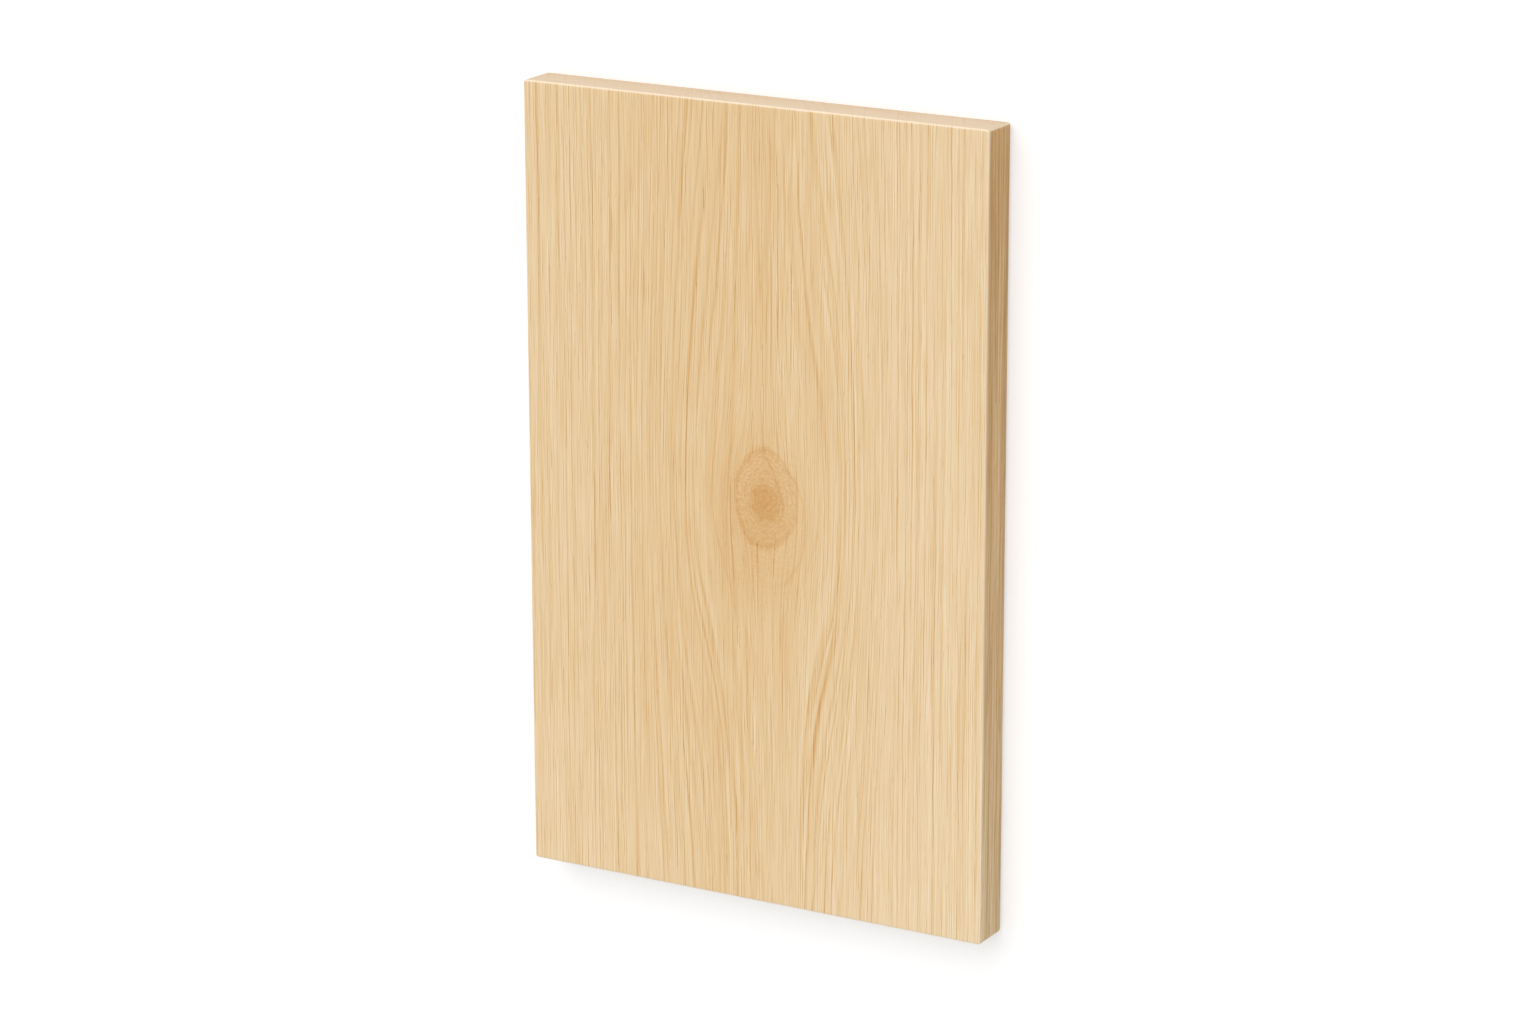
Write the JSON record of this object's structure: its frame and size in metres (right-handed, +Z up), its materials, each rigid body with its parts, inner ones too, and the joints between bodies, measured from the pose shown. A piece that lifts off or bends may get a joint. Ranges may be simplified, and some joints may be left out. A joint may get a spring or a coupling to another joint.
{
  "type": "parquet plank",
  "caption": "Solid light oak parquet plank, a flat rectangular board with square long edges and ends and every arris lightly eased.",
  "frame": {"origin": "centre of the underside, on the floor that the plank lies on", "axes": "+X along the grain and the length, +Y across the width, +Z up out of the wear face"},
  "size_m": [0.3, 0.19, 0.018],
  "materials": {
    "oak": "matte"
  },
  "bodies": {
    "root": {"plank": "oak"}
  },
  "joints": []
}
